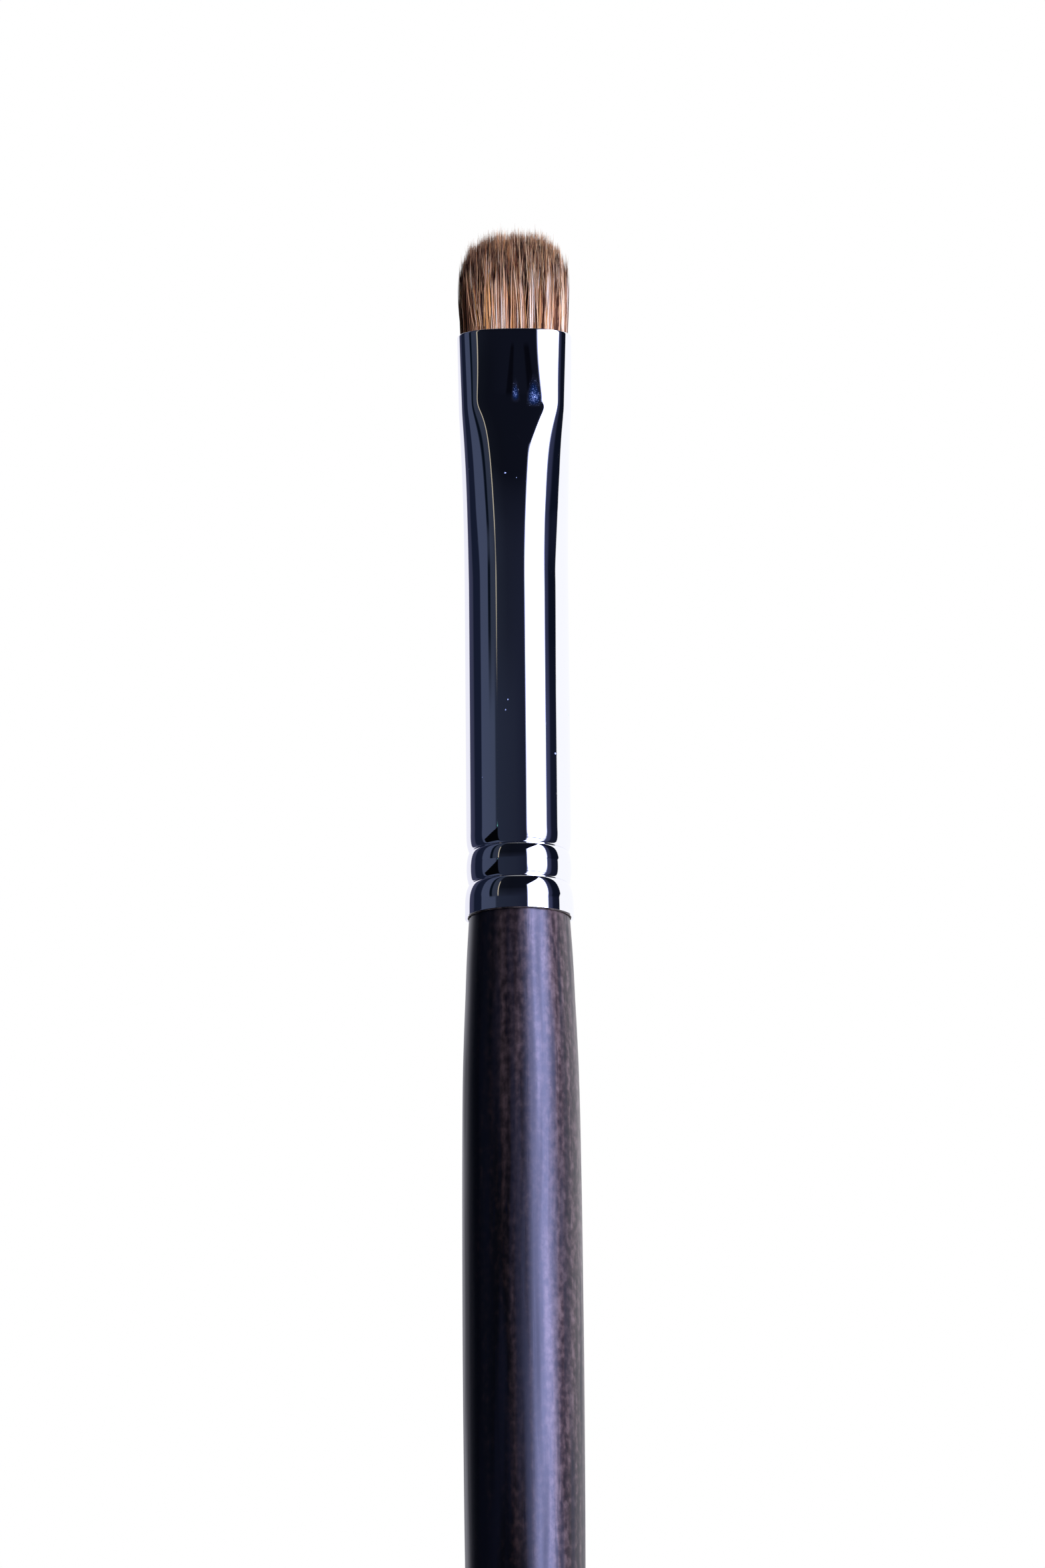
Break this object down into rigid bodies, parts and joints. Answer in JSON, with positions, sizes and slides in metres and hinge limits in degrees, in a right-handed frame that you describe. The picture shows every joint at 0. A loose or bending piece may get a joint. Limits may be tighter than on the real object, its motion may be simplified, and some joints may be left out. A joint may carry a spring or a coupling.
{
  "type": "highlighter brush",
  "caption": "Slim makeup brush for highlighter: a small domed tuft of brown hair in a bright crimped ferrule, pressed flat at its mouth, on a tapered dark wooden handle.",
  "frame": {"origin": "centre of the small flat on the handle's butt", "axes": "+Z along the handle towards the hair, +X across the wide face of the ferrule's mouth, -Y out of the pressed face that the picture shows"},
  "size_m": [0.0086, 0.0086, 0.1692],
  "materials": {
    "lacquered_wood": "dark turned hardwood with fine straight grain under a satin clear lacquer",
    "plated_metal": "bright mirror plating on thin drawn brass, with faint hairline scratches",
    "brush_hair": "natural animal hair, mid brown with darker and golden hairs, soft sheen",
    "binding_cotton": "matt cotton thread",
    "root_resin": "cast amber resin",
    "joint_glue": "dried cream glue"
  },
  "bodies": {
    "root": {"handle": "lacquered_wood", "ferrule": "plated_metal", "hair_tuft": "brush_hair", "binding_thread": "binding_cotton", "root_glue": "root_resin", "tenon_glue": "joint_glue"}
  },
  "joints": []
}
